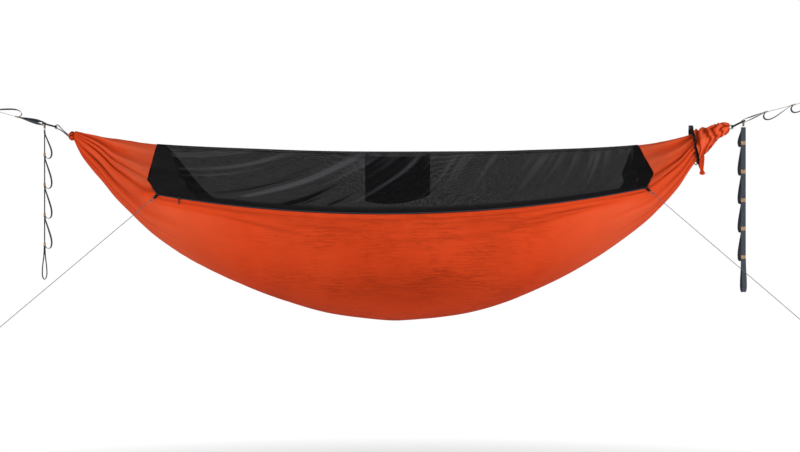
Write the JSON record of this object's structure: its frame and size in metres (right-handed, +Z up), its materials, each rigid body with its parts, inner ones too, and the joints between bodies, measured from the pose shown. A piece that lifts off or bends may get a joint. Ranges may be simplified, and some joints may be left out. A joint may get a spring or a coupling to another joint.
{
  "type": "hammock with insect net and tree straps",
  "caption": "Gathered-end cloth hammock with a zipped insect net on a ridgeline, hung by cord loops and carabiners from looped tree straps, with guy lines.",
  "frame": {"origin": "middle of the sewn eye at the tree end of the left strap", "axes": "+X from the left tree to the right tree, -Y toward the near side with the zip, +Z up"},
  "size_m": [3.3069, 1.2147, 0.9194],
  "materials": {
    "ripstop_orange": "thin woven nylon with a soft sheen",
    "insect_net": "fine black mesh, partly see-through",
    "black_cloth": "matte woven nylon",
    "zip_tape": "moulded coil on dark tape",
    "steel": "plated",
    "grey_cord": "braided",
    "black_cord": "braided",
    "anodised_black": "satin anodised",
    "grey_webbing": "woven webbing with tan bar tacks",
    "black_plastic": "moulded"
  },
  "bodies": {
    "tree_straps": {"strap_left": "grey_webbing", "strap_right": "grey_webbing", "carabiner_left": "anodised_black", "carabiner_right": "anodised_black", "gate_rivet_left": "steel", "gate_rivet_right": "steel"},
    "gate_left": {"gate_left": "anodised_black"},
    "gate_right": {"gate_right": "anodised_black"},
    "tail_left": {"tail_left": "grey_webbing"},
    "tail_right": {"tail_right": "grey_webbing"},
    "hammock": {"bed": "ripstop_orange", "gather_left": "ripstop_orange", "gather_right": "ripstop_orange", "suspension_left": "grey_cord", "suspension_right": "grey_cord", "ridgeline": "grey_cord", "far_net": "insect_net", "far_net_gusset_left": "black_cloth", "far_net_gusset_right": "black_cloth", "zip_coil": "zip_tape", "far_hem_binding": "black_cloth", "tie_out_near_left": "black_cloth", "tie_out_near_right": "black_cloth", "tie_out_far_left": "black_cloth", "tie_out_far_right": "black_cloth", "stuff_sack": "ripstop_orange", "drawcord": "black_cord", "sack_corner": "ripstop_orange"},
    "net_door": {"net_door": "insect_net", "net_door_gusset_left": "black_cloth", "net_door_gusset_right": "black_cloth"},
    "zip_slider": {"zip_slider": "steel"},
    "zip_pull": {"zip_pull": "steel"},
    "ridge_pocket": {"ridge_pocket": "black_cloth"},
    "cord_lock": {"cord_lock": "black_plastic"},
    "cord_lock_button": {"cord_lock_button": "black_plastic"},
    "guy_left": {"guy_left": "grey_cord"},
    "guy_right": {"guy_right": "grey_cord"}
  },
  "joints": [
    {"name": "gate_left_opens", "type": "hinge", "parent": "tree_straps", "child": "gate_left", "pos_m": [0.26214, -0.0145, -0.07163], "axis": [0.2588, 0, 0.9659], "range_deg": [0, 25], "stiffness_Nm_per_rad": 0.05, "springref_deg": -11.46},
    {"name": "gate_right_opens", "type": "hinge", "parent": "tree_straps", "child": "gate_right", "pos_m": [2.89451, -0.0145, -0.06509], "axis": [0.4384, 0, -0.8988], "range_deg": [0, 25], "stiffness_Nm_per_rad": 0.05, "springref_deg": -11.46},
    {"name": "tail_left_swings", "type": "hinge", "parent": "tree_straps", "child": "tail_left", "pos_m": [0.25137, 0, -0.08833], "axis": [0, 1, 0], "range_deg": [-20, 30]},
    {"name": "tail_right_swings", "type": "hinge", "parent": "tree_straps", "child": "tail_right", "pos_m": [2.90671, 0, -0.07959], "axis": [0.9511, 0.309, 0], "range_deg": [-15, 15]},
    {"name": "hammock_swings", "type": "hinge", "parent": "tree_straps", "child": "hammock", "pos_m": [1.6058, 0, -0.08105], "axis": [1, 0, 0], "range_deg": [-25, 25]},
    {"name": "net_door_lifts", "type": "hinge", "parent": "hammock", "child": "net_door", "pos_m": [1.6058, 0, -0.146], "axis": [-1, 0, 0], "range_deg": [0, 110]},
    {"name": "zip_slider_runs", "type": "hinge", "parent": "hammock", "child": "zip_slider", "pos_m": [1.5428, 2.00985, 1.46595], "axis": [0, -0.6115, 0.7912], "range_deg": [0, 29]},
    {"name": "zip_pull_tips", "type": "hinge", "parent": "zip_slider", "child": "zip_pull", "pos_m": [0.8046, -0.35662, -0.35523], "axis": [-0.9708, 0.1899, 0.1468], "range_deg": [0, 80]},
    {"name": "pocket_slides", "type": "slide", "parent": "hammock", "child": "ridge_pocket", "axis": [1, 0, 0], "range_m": [-0.06, 0.06]},
    {"name": "cord_lock_slides", "type": "slide", "parent": "hammock", "child": "cord_lock", "axis": [0.1172, -0.7524, -0.6482], "range_m": [0, 0.03]},
    {"name": "cord_lock_presses", "type": "slide", "parent": "cord_lock", "child": "cord_lock_button", "axis": [0, 0.6527, -0.7576], "range_m": [0, 0.002], "stiffness_N_per_m": 200, "springref_m": -0.002},
    {"name": "guy_left_turns", "type": "hinge", "parent": "hammock", "child": "guy_left", "pos_m": [0.71505, -0.33931, -0.35232], "axis": [0, 0, 1], "range_deg": [-20, 20]},
    {"name": "guy_right_turns", "type": "hinge", "parent": "hammock", "child": "guy_right", "pos_m": [2.50714, -0.30713, -0.32694], "axis": [0, 0, 1], "range_deg": [-20, 20]}
  ]
}
